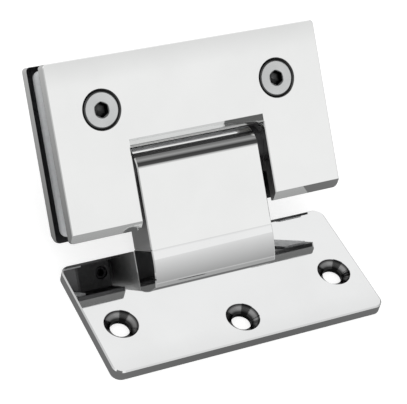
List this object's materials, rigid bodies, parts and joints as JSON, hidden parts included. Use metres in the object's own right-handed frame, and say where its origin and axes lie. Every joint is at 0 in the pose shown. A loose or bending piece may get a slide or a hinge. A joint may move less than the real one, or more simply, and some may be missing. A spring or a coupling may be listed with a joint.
{
  "type": "glass door hinge",
  "caption": "Polished glass-to-wall door hinge: a screw-on wall plate, a leaning pivot block and a two-leaf glass clamp that swings on a pin.",
  "frame": {"origin": "centre of the wall plate's back face, on the wall", "axes": "+Z points out of the wall, +X runs along the pivot pin, +Y points along the wall towards the pivot side"},
  "size_m": [0.09, 0.0843, 0.0555],
  "materials": {
    "polished_chrome": "mirror polished chrome plate on brass",
    "chrome_screw": "chromed countersunk screw",
    "steel": "plain turned steel",
    "bronze": "sintered bronze bush",
    "nylon": "natural nylon",
    "cast_zinc": "bead-blasted zinc casting",
    "clear_gasket": "frosted translucent soft vinyl"
  },
  "bodies": {
    "wall_side": {"wall_plate": "polished_chrome", "foot_wedge": "polished_chrome", "pivot_block": "polished_chrome", "foot_screw_left": "steel", "foot_screw_right": "steel", "pin_bush_left": "bronze", "pin_bush_right": "bronze", "thrust_washer_left": "nylon", "thrust_washer_right": "nylon", "detent_plunger_left": "steel", "detent_plunger_right": "steel", "detent_spring_left": "steel", "detent_spring_right": "steel", "detent_plug_left": "steel", "detent_plug_right": "steel"},
    "door_side": {"front_leaf": "polished_chrome", "rear_leaf": "polished_chrome", "front_gasket": "clear_gasket", "rear_gasket": "clear_gasket", "pivot_pin": "steel", "clamp_screw_left": "chrome_screw", "clamp_screw_right": "chrome_screw", "screw_sleeve_left": "nylon", "screw_sleeve_right": "nylon", "pin_holder_left": "cast_zinc", "pin_holder_right": "cast_zinc", "holder_screws_left": "steel", "holder_screws_right": "steel", "pin_set_screw_left": "steel", "pin_set_screw_right": "steel"}
  },
  "joints": [
    {"name": "door_swing", "type": "hinge", "parent": "wall_side", "child": "door_side", "pos_m": [0, 0.03348, 0.0253], "axis": [1, 0, 0], "range_deg": [-45, 90]}
  ]
}
